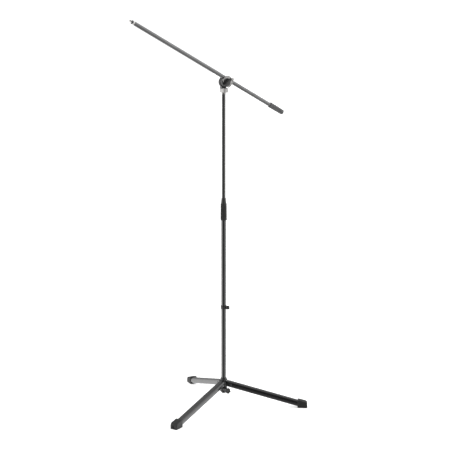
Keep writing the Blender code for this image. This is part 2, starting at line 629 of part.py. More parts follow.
def make_boom(boom):
    """Tube with a threaded adapter and its lock nut at one end and a grip at the other."""
    inner = BOOM_R - BOOM_WALL
    tube_start = BOOM_GRIP_END + 9.0 * MM
    add_object("boom_tube", ring(inner, BOOM_R, tube_start, BOOM_TUBE_END), BLACK_STEEL, boom)
    plug_r, shoulder_r = inner - GAP, 7.2 * MM
    shoulder, thread = BOOM_TUBE_END + GAP, BOOM_TIP - 15.0 * MM
    adapter = [
        (0, shoulder - 22.0 * MM), (plug_r, shoulder - 22.0 * MM), (plug_r, shoulder),
        (shoulder_r, shoulder), (shoulder_r, thread), (THREAD_R, thread),
        (THREAD_R, BOOM_TIP - 1.0 * MM), (THREAD_R - 1.0 * MM, BOOM_TIP), (0, BOOM_TIP),
    ]
    add_object("thread_adapter", turned(adapter), ZINC, boom)
    nut_back = thread + GAP
    nut_front, nut_r, chamfer = nut_back + 5.0 * MM, 7.6 * MM, 0.8 * MM
    nut = [
        (THREAD_R + GAP, nut_back), (nut_r - chamfer, nut_back), (nut_r, nut_back + chamfer),
        (nut_r, nut_front - chamfer), (nut_r - chamfer, nut_front), (THREAD_R + GAP, nut_front),
    ]
    add_object("lock_nut", turned(nut), BLACK_STEEL, boom)
    bore_r, lip_r, start_r, end_r = BOOM_R + GAP, 11.6 * MM, 11.2 * MM, 10.3 * MM
    round_end = arc((end_r - 5.0 * MM, BOOM_GRIP_END + 5.0 * MM), 5.0 * MM, -math.pi / 2, 0.0, 4)
    grip = [
        (0, BOOM_GRIP_END), *round_end, (start_r, BOOM_GRIP_START - 4.0 * MM),
        (lip_r, BOOM_GRIP_START - 3.0 * MM), (lip_r, BOOM_GRIP_START), (bore_r, BOOM_GRIP_START),
        (bore_r, tube_start - GAP), (0, tube_start - GAP),
    ]
    add_object("boom_grip", turned(grip), BLACK_RUBBER, boom)


def main():
    clear_scene()
    column = add_frame("column_axis", move(COLUMN_X, COLUMN_Y, 0))
    frames = leg_frames(column)
    clamp = clamp_frame(column)
    make_hub(frames, clamp)
    make_clamp(clamp)
    for index, frame in enumerate(frames, 1):
        make_leg(index, frame)
        make_pin(index, frame)
        make_foot(index, frame)
    make_lower_column()
    make_clutch()
    make_mast()
    make_cable_clip()
    head = head_frame(column)
    boom_clamp = add_frame("boom_clamp_axis", turn(-BOOM_ELEVATION, "Z"), head)
    make_swivel_base(head)
    make_boom_clamp(boom_clamp)
    make_tilt_hardware(head, boom_clamp)
    lying = move(BOOM_ABOVE_BOLT, 0, BOOM_FROM_COLUMN) @ turn(-math.pi / 2, "X")
    make_boom(add_frame("boom_axis", lying, boom_clamp))


main()
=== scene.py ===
"""Boom microphone stand: the looks of a folding tripod stand with a tilting, sliding boom.

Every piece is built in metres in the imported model's own frame.  Places come from the
packed joints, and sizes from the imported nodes, read in the frame of the part they are on.
"""
import json
import math

import bmesh
import bpy
from mathutils import Matrix, Vector


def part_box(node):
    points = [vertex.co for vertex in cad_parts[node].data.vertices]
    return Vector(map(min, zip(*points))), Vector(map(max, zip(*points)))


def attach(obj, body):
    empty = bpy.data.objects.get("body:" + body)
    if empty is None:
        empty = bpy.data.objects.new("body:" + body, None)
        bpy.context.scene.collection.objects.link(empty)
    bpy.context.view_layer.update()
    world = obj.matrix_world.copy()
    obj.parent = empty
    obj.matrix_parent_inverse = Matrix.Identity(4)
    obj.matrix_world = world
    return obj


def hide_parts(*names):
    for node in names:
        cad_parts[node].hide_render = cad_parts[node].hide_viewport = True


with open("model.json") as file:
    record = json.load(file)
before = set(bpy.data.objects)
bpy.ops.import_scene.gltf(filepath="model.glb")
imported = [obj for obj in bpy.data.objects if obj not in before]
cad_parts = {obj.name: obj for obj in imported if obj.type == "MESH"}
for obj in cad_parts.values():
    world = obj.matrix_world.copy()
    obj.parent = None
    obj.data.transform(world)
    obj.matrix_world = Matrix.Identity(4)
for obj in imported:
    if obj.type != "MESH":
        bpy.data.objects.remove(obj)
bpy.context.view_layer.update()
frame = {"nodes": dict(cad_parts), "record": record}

MM = 0.001
FULL_TURN = 2.0 * math.pi
QUARTER = FULL_TURN / 4
BEHAVIOUR = frame["record"]["behaviour"]
JOINTS = {joint["name"]: joint for joint in BEHAVIOUR["joints"]}
BODY_OF = {node: body for body, nodes in BEHAVIOUR["bodies"].items() for node in nodes}
UP = Vector((0, 0, 1))
LEG_COUNT = 3
LEG_SLOPE = math.radians(15.0)
LEG_CORNER = 9.0 * MM
KNOB_ANGLE = math.radians(-14.6)
SMOOTH_ANGLE = math.radians(32.0)
THREAD_ANGLE = math.radians(50.0)
# Turns a shape made on Z on to -Y, and on to X
SIDE_ON = Matrix.Rotation(QUARTER, 4, "X")
ALONG_X = Matrix.Rotation(QUARTER, 4, "Y") @ Matrix.Rotation(QUARTER, 4, "Z")
# Room between pieces that fit together
GAP = 0.3 * MM
BOLT_HOLE_R = 4.35 * MM
STUB_R = 4.7 * MM
# Past the head on every side, for the shapes that cut it
BEYOND = 60.0 * MM


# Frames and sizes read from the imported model


def placed(origin, z_axis, x_hint):
    """Frame with Z along an axis and X as near as it can be to a hint."""
    z = Vector(z_axis).normalized()
    x = (Vector(x_hint) - z * z.dot(Vector(x_hint))).normalized()
    axes = Matrix((x, z.cross(x), z)).transposed()
    return Matrix.Translation(origin) @ axes.to_4x4()


def joint_vectors(name):
    joint = JOINTS[name]
    return Vector(joint.get("pos_m", (0, 0, 0))), Vector(joint["axis"])


def column_frame():
    """Z up the column's axis, from the floor."""
    origin, axis = joint_vectors("mast_turn")
    return placed((origin.x, origin.y, 0.0), axis, (1, 0, 0))


def leg_frame(index):
    """On the leg's pin: X outwards along the leg, Y along the pin."""
    origin, pin = joint_vectors(f"leg_{index}_fold")
    outwards = pin.cross(UP)
    along = outwards * math.cos(LEG_SLOPE) - UP * math.sin(LEG_SLOPE)
    return placed(origin, along.cross(pin), along)


def foot_frame(index):
    """At floor level under the column: X outwards over the leg, Z up."""
    pin = joint_vectors(f"leg_{index}_fold")[1]
    return placed(COLUMN.translation, UP, pin.cross(UP))


def clamp_frame():
    """Z out of the hub along the clamp screw."""
    origin, axis = joint_vectors("clamp_knob_turn")
    centre = COLUMN.translation + UP * origin.z
    return placed(centre, axis, -UP)


def head_frame():
    """On the tilt axis: X up, Y level towards the boom's tip, Z out along the bolt."""
    origin, axis = joint_vectors("boom_tilt")
    return placed(origin, axis, UP)


def boom_clamp_frame():
    """On the tilt axis: Y along the boom towards its tip, Z out along the bolt."""
    origin, axis = joint_vectors("boom_tilt")
    along = joint_vectors("boom_slide")[1]
    return placed(origin, axis, along.cross(axis))


def boom_frame():
    """Z along the boom towards its tip, from abreast of the tilt axis."""
    origin, along = joint_vectors("lock_nut_turn")
    pivot, bolt = joint_vectors("boom_tilt")
    return placed(origin - along * along.dot(origin - pivot), along, bolt)


def extent(node, place):
    """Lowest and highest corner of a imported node, in a frame."""
    back = place.inverted()
    points = [back @ vertex.co for vertex in frame["nodes"][node].data.vertices]
    low = Vector([min(point[i] for point in points) for i in range(3)])
    high = Vector([max(point[i] for point in points) for i in range(3)])
    return low, high


def radius_of(node, place):
    low, high = extent(node, place)
    return max(high.x, high.y, -low.x, -low.y)


def ends_of(node, place):
    low, high = extent(node, place)
    return low.z, high.z


COLUMN = column_frame()
LEGS = [leg_frame(i + 1) for i in range(LEG_COUNT)]
CLAMP = clamp_frame()
HEAD = head_frame()
BOOM_CLAMP = boom_clamp_frame()
BOOM = boom_frame()


# Materials


def add_node(tree, kind, sockets=None, **settings):
    """Add a shader node; a socket's value is a number, a colour or another node's output."""
    node = tree.nodes.new("ShaderNode" + kind)
    for key, value in settings.items():
        setattr(node, key, value)
    for name, value in (sockets or {}).items():
        if isinstance(value, bpy.types.NodeSocket):
            tree.links.new(value, node.inputs[name])
        else:
            node.inputs[name].default_value = value
    return node


def start_material(name, metallic=0.0, specular=0.5):
    material = bpy.data.materials.new(name)
    material.use_nodes = True
    tree = material.node_tree
    shader = tree.nodes["Principled BSDF"]
    shader.inputs["Metallic"].default_value = metallic
    shader.inputs["Specular IOR Level"].default_value = specular
    coords = add_node(tree, "TexCoord").outputs["Object"]
    return material, tree, shader, coords


def noise(tree, coords, scale, detail=3.0, roughness=0.5, stretch=None):
    """Noise of about 1/scale metres, drawn out along the axes whose stretch is small."""
    if stretch:
        mapping = add_node(tree, "Mapping", {"Vector": coords, "Scale": stretch})
        coords = mapping.outputs["Vector"]
    node = add_node(
        tree, "TexNoise",
        {"Vector": coords, "Scale": scale, "Detail": detail, "Roughness": roughness},
    )
    return node.outputs["Fac"]


def remap(tree, value, low, high, new_low, new_high):
    sockets = {"Value": value, "From Min": low, "From Max": high, "To Min": new_low, "To Max": new_high}
    return add_node(tree, "MapRange", sockets).outputs["Result"]


def mix_colour(tree, factor, first, second):
    node = add_node(tree, "Mix", {"Factor": factor}, data_type="RGBA")
    for socket, value in ((6, first), (7, second)):
        if isinstance(value, bpy.types.NodeSocket):
            tree.links.new(value, node.inputs[socket])
        else:
            node.inputs[socket].default_value = (*value, 1.0)
    return node.outputs[2]


def shaded(colour, factor):
    return tuple(channel * factor for channel in colour)


def finish_material(material, tree, shader, colour, roughness, heights, edge=0.4 * MM):
    """Join colour and roughness to the shader, and stack bumps over softly rounded edges."""
    tree.links.new(colour, shader.inputs["Base Color"])
    tree.links.new(roughness, shader.inputs["Roughness"])
    normal = add_node(tree, "Bevel", {"Radius": edge}, samples=4).outputs["Normal"]
    for height, strength, distance in heights:
        sockets = {"Height": height, "Strength": strength, "Distance": distance, "Normal": normal}
        normal = add_node(tree, "Bump", sockets).outputs["Normal"]
    tree.links.new(normal, shader.inputs["Normal"])
    return material


def powder_coat(name, colour, gloss, wear=0.5, specular=1.0):
    """Powder coat: faint orange peel, cloudy sheen, and fine rubbed marks."""
    material, tree, shader, coords = start_material(name, specular=specular)
    cloud = noise(tree, coords, 22.0, 4.0)
    cloudy = remap(tree, cloud, 0.3, 0.7, 0.0, 1.0)
    base = mix_colour(tree, cloudy, shaded(colour, 0.75), shaded(colour, 1.5))
    rubbed = noise(tree, coords, 160.0, 6.0, 0.7, (1.0, 1.0, 0.12))
    marks = remap(tree, rubbed, 0.62, 0.74, 0.0, wear)
    base = mix_colour(tree, marks, base, shaded(colour, 5.0))
    patchy = remap(tree, noise(tree, coords, 45.0, 5.0), 0.3, 0.7, gloss - 0.05, gloss + 0.09)
    peel = noise(tree, coords, 950.0, 2.0)
    fleck = noise(tree, coords, 2600.0, 1.0)
    heights = [(peel, 0.07, 0.12 * MM), (fleck, 0.05, 0.05 * MM), (rubbed, 0.04, 0.05 * MM)]
    return finish_material(material, tree, shader, base, patchy, heights)


def cast_coat(name, colour=(0.006, 0.006, 0.0065), gloss=0.40):
    """Black coat over a sand-textured casting, rougher and paler in patches."""
    material, tree, shader, coords = start_material(name)
    cloud = noise(tree, coords, 60.0, 5.0)
    cloudy = remap(tree, cloud, 0.35, 0.7, 0.0, 1.0)
    base = mix_colour(tree, cloudy, shaded(colour, 0.7), shaded(colour, 1.9))
    rough = remap(tree, cloud, 0.3, 0.7, gloss - 0.05, gloss + 0.12)
    sand = noise(tree, coords, 1300.0, 3.0, 0.6)
    swell = noise(tree, coords, 190.0, 2.0)
    heights = [(swell, 0.22, 0.35 * MM), (sand, 0.30, 0.12 * MM)]
    return finish_material(material, tree, shader, base, rough, heights, 0.7 * MM)


def moulded(name, colour=(0.006, 0.006, 0.006), gloss=0.46):
    """Moulded plastic with a fine spark-eroded grain and slight handling polish."""
    material, tree, shader, coords = start_material(name)
    cloud = noise(tree, coords, 90.0, 4.0)
    cloudy = remap(tree, cloud, 0.35, 0.7, 0.0, 1.0)
    base = mix_colour(tree, cloudy, shaded(colour, 0.75), shaded(colour, 1.6))
    rough = remap(tree, noise(tree, coords, 140.0, 4.0), 0.3, 0.7, gloss - 0.09, gloss + 0.09)
    cells = add_node(tree, "TexVoronoi", {"Vector": coords, "Scale": 1700.0}).outputs["Distance"]
    heights = [(cells, 0.22, 0.06 * MM), (cloud, 0.10, 0.2 * MM)]
    return finish_material(material, tree, shader, base, rough, heights, 0.5 * MM)


def rubber(name, colour=(0.017, 0.017, 0.017), gloss=0.72, dust=0.35):
    """Matte rubber: pebbled skin, paler dusty patches."""
    material, tree, shader, coords = start_material(name, specular=0.4)
    cloud = noise(tree, coords, 70.0, 6.0, 0.65)
    cloudy = remap(tree, cloud, 0.3, 0.7, 0.0, 1.0)
    base = mix_colour(tree, cloudy, shaded(colour, 0.75), shaded(colour, 1.45))
    patches = remap(tree, noise(tree, coords, 38.0, 7.0, 0.7), 0.55, 0.75, 0.0, dust)
    base = mix_colour(tree, patches, base, (0.085, 0.082, 0.077))
    rough = remap(tree, cloud, 0.3, 0.7, gloss - 0.10, gloss + 0.08)
    pebble = add_node(tree, "TexVoronoi", {"Vector": coords, "Scale": 1150.0}).outputs["Distance"]
    fine = noise(tree, coords, 2400.0, 2.0)
    heights = [(pebble, 0.35, 0.12 * MM), (fine, 0.20, 0.05 * MM)]
    return finish_material(material, tree, shader, base, rough, heights, 0.6 * MM)


def plated(name, colour, gloss, grain=0.5, edge=0.4 * MM):
    """Plated metal: drifting tone, fine tool lines, small dull spots."""
    material, tree, shader, coords = start_material(name, metallic=1.0)
    drift = noise(tree, coords, 55.0, 5.0)
    drifting = remap(tree, drift, 0.3, 0.7, 0.0, 1.0)
    base = mix_colour(tree, drifting, shaded(colour, 0.82), shaded(colour, 1.08))
    spots = remap(tree, noise(tree, coords, 420.0, 4.0, 0.7), 0.60, 0.72, 0.0, 0.6)
    base = mix_colour(tree, spots, base, shaded(colour, 0.45))
    lines = noise(tree, coords, 900.0, 2.0, 0.5, (1.0, 1.0, 0.05))
    rough = remap(tree, lines, 0.3, 0.7, gloss - 0.07, gloss + 0.12)
    pits = noise(tree, coords, 1500.0, 3.0, 0.6)
    heights = [(lines, 0.10 * grain, 0.05 * MM), (pits, 0.16 * grain, 0.08 * MM)]
    return finish_material(material, tree, shader, base, rough, heights, edge)


def nylon(name):
    material, tree, shader, coords = start_material(name)
    cloud = noise(tree, coords, 130.0, 4.0)
    base = mix_colour(tree, cloud, (0.60, 0.57, 0.50), (0.74, 0.71, 0.64))
    rough = remap(tree, cloud, 0.3, 0.7, 0.42, 0.6)
    return finish_material(material, tree, shader, base, rough, [(cloud, 0.2, 0.1 * MM)])


TUBE_COAT = powder_coat("tube_coat", (0.005, 0.005, 0.0055), 0.12)
BOOM_COAT = powder_coat("boom_coat", (0.036, 0.036, 0.037), 0.18, 0.25)
LEG_COAT = powder_coat("leg_coat", (0.005, 0.005, 0.0055), 0.16, 0.35, 0.6)
CASTING = cast_coat("cast_coat")
HEAD_CASTING = cast_coat("head_cast_coat", gloss=0.36)
KNOB_PLASTIC = moulded("knob_plastic")
CLIP_PLASTIC = moulded("clip_plastic", (0.009, 0.009, 0.009), 0.38)
FOOT_RUBBER = rubber("foot_rubber", (0.008, 0.008, 0.008), 0.66, 0.12)
SLEEVE_RUBBER = rubber("sleeve_rubber", (0.011, 0.011, 0.011), 0.66, 0.10)
GRIP_RUBBER = rubber("grip_rubber", (0.060, 0.060, 0.061), 0.62, 0.25)
NICKEL = plated("satin_nickel", (0.30, 0.295, 0.29), 0.42, 0.9)
BRIGHT_NICKEL = plated("bright_nickel", (0.50, 0.49, 0.48), 0.24, 0.5, 0.15 * MM)
ZINC_STEEL = plated("zinc_steel", (0.50, 0.50, 0.51), 0.30, 0.6, 0.2 * MM)
DARK_STEEL = plated("dark_steel", (0.10, 0.10, 0.105), 0.34, 0.6, 0.2 * MM)
TURNED_BRASS = plated("turned_brass", (0.62, 0.46, 0.21), 0.30, 0.6, 0.2 * MM)
NATURAL_NYLON = nylon("natural_nylon")


# Shapes


def lathe(profile, steps=96, swell=None):
    """Turn (radius, height) points about Z; swell(angle, radius, height) alters the radius.

    A profile that starts and ends on the axis is capped by it, any other is a closed ring.
    """
    bm = bmesh.new()
    rows = []
    for radius, height in profile:
        if radius == 0:
            rows.append([bm.verts.new((0, 0, height))] * steps)
            continue
        row = []
        for i in range(steps):
            angle = FULL_TURN * i / steps
            r = swell(angle, radius, height) if swell else radius
            row.append(bm.verts.new((r * math.cos(angle), r * math.sin(angle), height)))
        rows.append(row)
    closed = profile[0][0] > 0
    pairs = list(zip(rows, rows[1:]))
    if closed:
        pairs.append((rows[-1], rows[0]))
    for low, high in pairs:
        for i in range(steps):
            j = (i + 1) % steps
            corners = list(dict.fromkeys((low[i], low[j], high[j], high[i])))
            if len(corners) > 2:
                bm.faces.new(corners)
    return bm


def rod(radius, low, high, steps):
    """Solid cylinder on Z; with six steps, a hexagon."""
    return lathe([(0, low), (radius, low), (radius, high), (0, high)], steps)


def arc(centre, radius, start, end, steps=6):
    """Points on a circle from one angle to another, both ends included."""
    angles = [start + (end - start) * i / steps for i in range(steps + 1)]
    return [(centre[0] + radius * math.cos(a), centre[1] + radius * math.sin(a)) for a in angles]


def stepped(low, high, count):
    """Evenly spaced heights between two, both ends left out."""
    return [low + (high - low) * (i + 1) / (count + 1) for i in range(count)]


def rounded_rectangle(width, height, corner, steps=8):
    half_w, half_h = width / 2 - corner, height / 2 - corner
    points = []
    for quarter, (sx, sy) in enumerate(((1, 1), (-1, 1), (-1, -1), (1, -1))):
        start = quarter * QUARTER
        points += arc((sx * half_w, sy * half_h), corner, start, start + QUARTER, steps)
    return points


def extruded(outline, bottom, top):
    bm = bmesh.new()
    face = bm.faces.new([bm.verts.new((x, y, bottom)) for x, y in outline])
    out = bmesh.ops.extrude_face_region(bm, geom=[face])
    moved = [v for v in out["geom"] if isinstance(v, bmesh.types.BMVert)]
    bmesh.ops.translate(bm, verts=moved, vec=(0, 0, top - bottom))
    bmesh.ops.recalc_face_normals(bm, faces=bm.faces)
    return bm


def block(x_range, y_range, z_range):
    (x0, x1), (y0, y1) = x_range, y_range
    return extruded([(x0, y0), (x1, y0), (x1, y1), (x0, y1)], *z_range)


def rounded(bm, width, segments=3, angle=math.radians(40.0)):
    """Round the edges that are sharper than an angle."""
    bmesh.ops.recalc_face_normals(bm, faces=bm.faces)
    edges = [e for e in bm.edges if e.is_manifold and e.calc_face_angle() > angle]
    bmesh.ops.bevel(
        bm, geom=edges, offset=width, segments=segments, profile=0.5, affect="EDGES",
        clamp_overlap=True,
    )
    return bm


def moved(bm, place):
    bmesh.ops.transform(bm, matrix=place, verts=bm.verts)
    return bm


def shift(x=0.0, y=0.0, z=0.0):
    return Matrix.Translation((x, y, z))


def turn(angle, axis="Z"):
    return Matrix.Rotation(angle, 4, axis)


def joined(*parts):
    """Several shapes in one mesh."""
    whole = bmesh.new()
    for part in parts:
        mesh = bpy.data.meshes.new("part")
        part.to_mesh(mesh)
        part.free()
        whole.from_mesh(mesh)
        bpy.data.meshes.remove(mesh)
    return whole


def temporary(bm):
    bmesh.ops.recalc_face_normals(bm, faces=bm.faces)
    mesh = bpy.data.meshes.new("temporary")
    bm.to_mesh(mesh)
    bm.free()
    obj = bpy.data.objects.new("temporary", mesh)
    bpy.context.scene.collection.objects.link(obj)
    return obj


def carved(bm, *cutters):
    """A shape with other shapes cut out of it."""
    obj = temporary(bm)
    tools = [temporary(cutter) for cutter in cutters]
    for tool in tools:
        modifier = obj.modifiers.new("carve", "BOOLEAN")
        modifier.operation = "DIFFERENCE"
        modifier.solver = "EXACT"
        modifier.object = tool
    bpy.context.view_layer.update()
    result = obj.evaluated_get(bpy.context.evaluated_depsgraph_get())
    out = bmesh.new()
    out.from_mesh(result.data)
    for helper in [obj, *tools]:
        bpy.data.objects.remove(helper, do_unlink=True)
    return out


def piece(name, bm, place, material, *nodes, smooth=SMOOTH_ANGLE):
    """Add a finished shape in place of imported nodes, riding on their body."""
    bmesh.ops.transform(bm, matrix=place, verts=bm.verts)
    bmesh.ops.recalc_face_normals(bm, faces=bm.faces)
    mesh = bpy.data.meshes.new(name)
    bm.to_mesh(mesh)
    bm.free()
    mesh.materials.append(material)
    mesh.shade_smooth()
    mesh.set_sharp_from_angle(angle=smooth)
    obj = bpy.data.objects.new(name, mesh)
    bpy.context.scene.collection.objects.link(obj)
    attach(obj, BODY_OF[nodes[0]])
    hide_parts(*nodes)


def keep(node, material):
    """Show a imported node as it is, in a finished material."""
    mesh = frame["nodes"][node].data
    mesh.materials.clear()
    mesh.materials.append(material)


# Tripod base


def make_legs():
    """Flat-oval tubes, mitred and slotted where they fold over the hub's lugs."""
    wall, mitre_back = 1.5 * MM, 11.0 * MM
    slot_half, slot_end, pin_hole = 8.6 * MM, 13.0 * MM, 3.3 * MM
    for index, place in enumerate(LEGS, 1):
        node = f"leg_{index}"
        low, high = extent(node, place)
        width, height = high.y - low.y, high.z - low.z
        outer = extruded(rounded_rectangle(width, height, LEG_CORNER), low.x - wall, high.x)
        bore_outline = rounded_rectangle(width - 2 * wall, height - 2 * wall, LEG_CORNER - wall)
        bore = extruded(bore_outline, low.x - 5 * wall, high.x + wall)
        far = 2 * width
        slant = mitre_back / height
        x_top, x_bottom = low.x - slant * height / 2, low.x + slant * height * 1.5
        mitre_outline = [
            (x_top, height), (low.x - far, height), (low.x - far, -height), (x_bottom, -height),
        ]
        mitre = moved(extruded(mitre_outline, -width, width), SIDE_ON)
        slot = block((low.x - far, slot_end), (-slot_half, slot_half), (-height, -height / 3))
        hole = moved(rod(pin_hole, -width, width, 32), SIDE_ON)
        leg = carved(moved(outer, ALONG_X), moved(bore, ALONG_X), mitre, slot, hole)
        piece(f"leg_tube_{index}", leg, place, LEG_COAT, node)


def make_leg_pins():
    """Domed rivets."""
    for index, place in enumerate(LEGS, 1):
        node = f"leg_pin_{index}"
        low, high = extent(node, place)
        reach, head_r = high.y, high.z
        head, shank_r = 1.6 * MM, 3.0 * MM
        dome = [(head_r * math.cos(a), reach - head + head * math.sin(a)) for a in (0.0, 0.4, 0.8, 1.2)]
        top = [(shank_r, reach - head), *dome, (0, reach)]
        bottom = [(r, -z) for r, z in reversed(top)]
        piece(f"leg_rivet_{index}", lathe(bottom + top, 40), place @ SIDE_ON, DARK_STEEL, node)


def foot_side(low, high):
    """Side view of a foot, (distance from the column, height), following the leg's slope."""
    toe_r, toe_drop, lip = 13.0 * MM, 19.3 * MM, 1.5 * MM
    toe = arc((high.x - toe_r, high.z - toe_drop), toe_r, 0.0, math.radians(70.0), 10)
    return [
        (low.x + lip, 0.0), (high.x - lip, 0.0), (high.x, lip), *toe,
        (low.x + 4.5 * MM, high.z), (low.x + 1.0 * MM, high.z - 1.5 * MM), (low.x, high.z - 6.0 * MM),
        (low.x, lip),
    ]


def make_feet():
    """Rubber boots: rounded block, seam above the sole, notch in the toe, tread below."""
    seam_z, seam_h, seam_depth = 6.5 * MM, 0.8 * MM, 0.6 * MM
    notch_half, notch_low, notch_depth = 4.5 * MM, 3.5 * MM, 3.0 * MM
    toe_inset, groove_depth = 0.4 * MM, 1.2 * MM
    for index in range(1, LEG_COUNT + 1):
        node = f"foot_{index}"
        place = foot_frame(index)
        low, high = extent(node, place)
        half = high.y
        high.x -= toe_inset
        body = extruded(foot_side(low, high), -half, half)
        body = rounded(moved(body, SIDE_ON), 3.0 * MM, 4, math.radians(50.0))
        outside = block(
            (low.x - half, high.x + half), (-2 * half, 2 * half), (seam_z, seam_z + seam_h)
        )
        inside = block(
            (low.x + seam_depth, high.x - seam_depth), (seam_depth - half, half - seam_depth),
            (0, 2 * seam_z),
        )
        cutters = [carved(outside, inside)]
        cutters.append(block(
            (high.x - notch_depth, high.x + half), (-notch_half, notch_half),
            (notch_low, high.z * 0.5),
        ))
        for x in stepped(low.x, high.x, 5):
            cutters.append(block(
                (x - groove_depth, x + groove_depth), (-0.7 * half, 0.7 * half), (-half, groove_depth)
            ))
        leg_low, leg_high = extent(f"leg_{index}", LEGS[index - 1])
        width, height = leg_high.y - leg_low.y + 2 * GAP, leg_high.z - leg_low.z + 2 * GAP
        socket_outline = rounded_rectangle(width, height, LEG_CORNER + GAP)
        socket = extruded(socket_outline, leg_high.x * 0.7, leg_high.x + GAP)
        cutters.append(moved(socket, place.inverted() @ LEGS[index - 1] @ ALONG_X))
        piece(f"rubber_foot_{index}", carved(body, *cutters), place, FOOT_RUBBER, node)


def make_hub():
    """Casting: sleeve with a lipped foot, a tongue and bosses for each leg, a screw boss."""
    low, high = ends_of("base_hub", COLUMN)
    bore = radius_of("lower_tube", COLUMN) + GAP
    sleeve_r, lip = 15.5 * MM, 0.9 * MM
    profile = [
        (bore, low), (sleeve_r - lip, low), (sleeve_r, low + lip), (sleeve_r, low + 4 * lip),
        (sleeve_r - lip, low + 5.5 * lip), (sleeve_r - lip, high - 3 * lip),
        (sleeve_r, high - 2 * lip), (sleeve_r, high - lip), (sleeve_r - lip, high), (bore, high),
    ]
    parts = [lathe(profile)]
    tongue_half, tongue_r, root, web = 8.0 * MM, 7.9 * MM, -18.5 * MM, -12.0 * MM
    outline = [
        *arc((0, 0), tongue_r, -QUARTER, QUARTER, 12), (root, tongue_r), (root + 2.0 * MM, web),
        (-6.0 * MM, web + 1.5 * MM),
    ]
    boss_r, boss_end = 4.4 * MM, 12.4 * MM
    for place in LEGS:
        tongue = moved(extruded(outline, -tongue_half, tongue_half), SIDE_ON)
        bosses = moved(rod(boss_r, -boss_end, boss_end, 32), SIDE_ON)
        into_column = COLUMN.inverted() @ place
        parts += [moved(rounded(tongue, 0.8 * MM, 2), into_column), moved(bosses, into_column)]
    boss = [
        (0, 12.0 * MM), (10.0 * MM, 12.0 * MM), (8.2 * MM, 15.5 * MM), (7.5 * MM, 18.0 * MM),
        (7.5 * MM, 23.0 * MM), (6.6 * MM, 24.0 * MM), (0, 24.0 * MM),
    ]
    parts.append(moved(lathe(boss, 48), COLUMN.inverted() @ CLAMP))
    piece("hub_casting", joined(*parts), COLUMN, CASTING, "base_hub")


def make_clamp_knob():
    """Lobed knob with a ring sunk in its face."""
    start, end = ends_of("clamp_knob", CLAMP)
    radius = radius_of("clamp_knob", CLAMP)
    lobes, depth, edge = 5, 1.3 * MM, 2.2 * MM

    def lobed(angle, r, z):
        return r - depth * (1 - math.cos(lobes * angle)) * r / radius

    round_front = arc((radius - edge, end - edge), edge, 0.0, QUARTER, 5)
    round_back = arc((radius - edge, start + edge), edge, -QUARTER, 0.0, 5)
    profile = [
        (0, start), (5.5 * MM, start), *round_back, *round_front,
        (6.5 * MM, end - 0.2 * MM), (5.9 * MM, end - 1.2 * MM), (4.2 * MM, end - 1.2 * MM),
        (3.6 * MM, end - 0.5 * MM), (0, end - 0.3 * MM),
    ]
    piece("lobed_knob", lathe(profile, 120, lobed), CLAMP, KNOB_PLASTIC, "clamp_knob")


def make_clamp_screw():
    """Threaded screw of the lobed knob, and the pad it presses on."""
    start, end = ends_of("clamp_screw", CLAMP)
    screw = threaded(start, end, radius_of("clamp_screw", CLAMP), 1.0 * MM)
    piece("clamp_thread", screw, CLAMP, ZINC_STEEL, "clamp_screw", smooth=THREAD_ANGLE)
    keep("clamp_pad", NATURAL_NYLON)


def threaded(start, end, radius, pitch):
    """Rod with a helical thread along all of it and a chamfer at each end."""
    depth = 0.6 * pitch
    core = radius - depth
    rows_per_turn = 6

    def thread(angle, r, z):
        phase = ((z - start) / pitch - angle / FULL_TURN) % 1.0
        crest = 1.0 - abs(2.0 * phase - 1.0)
        chamfered = core + min(z - start, end - z)
        return max(core, min(r - depth * crest, chamfered)) if r == radius else r

    count = round((end - start) / pitch * rows_per_turn)
    rows = [(radius, z) for z in stepped(start, end, count)]
    return lathe([(0, start), (core, start), *rows, (core, end), (0, end)], 36, thread)


# Column


def make_tube(name, node, place, material=None):
    """Steel tube with softened ends."""
    start, end = ends_of(node, place)
    outer, wall, soft = radius_of(node, place), 1.2 * MM, 0.4 * MM
    profile = [
        (outer - wall, start), (outer - soft, start), (outer, start + soft),
        (outer, end - soft), (outer - soft, end), (outer - wall, end),
    ]
    piece(name, lathe(profile), place, material or TUBE_COAT, node)


def make_lock_cone():
    """Bell-shaped collar over the legs' inner ends."""
    start, end = ends_of("lock_cone", COLUMN)
    rim, bore = radius_of("lock_cone", COLUMN), radius_of("lower_tube", COLUMN) + GAP
    neck, flare_from, flare_height, steps = 11.6 * MM, start + 1.4 * MM, end - start - 2.2 * MM, 10
    flare = []
    for i in range(steps + 1):
        t = i / steps
        swell = (0.5 + 0.5 * math.cos(math.pi * t)) ** 0.8
        flare.append((neck + (rim - 0.3 * MM - neck) * swell, flare_from + flare_height * t))
    profile = [
        (bore, start), (rim - 0.4 * MM, start), (rim, start + 0.5 * MM), (rim, start + 1.2 * MM),
        *flare, (neck - 0.3 * MM, end), (bore, end),
    ]
    piece("locking_bell", lathe(profile), COLUMN, CASTING, "lock_cone")


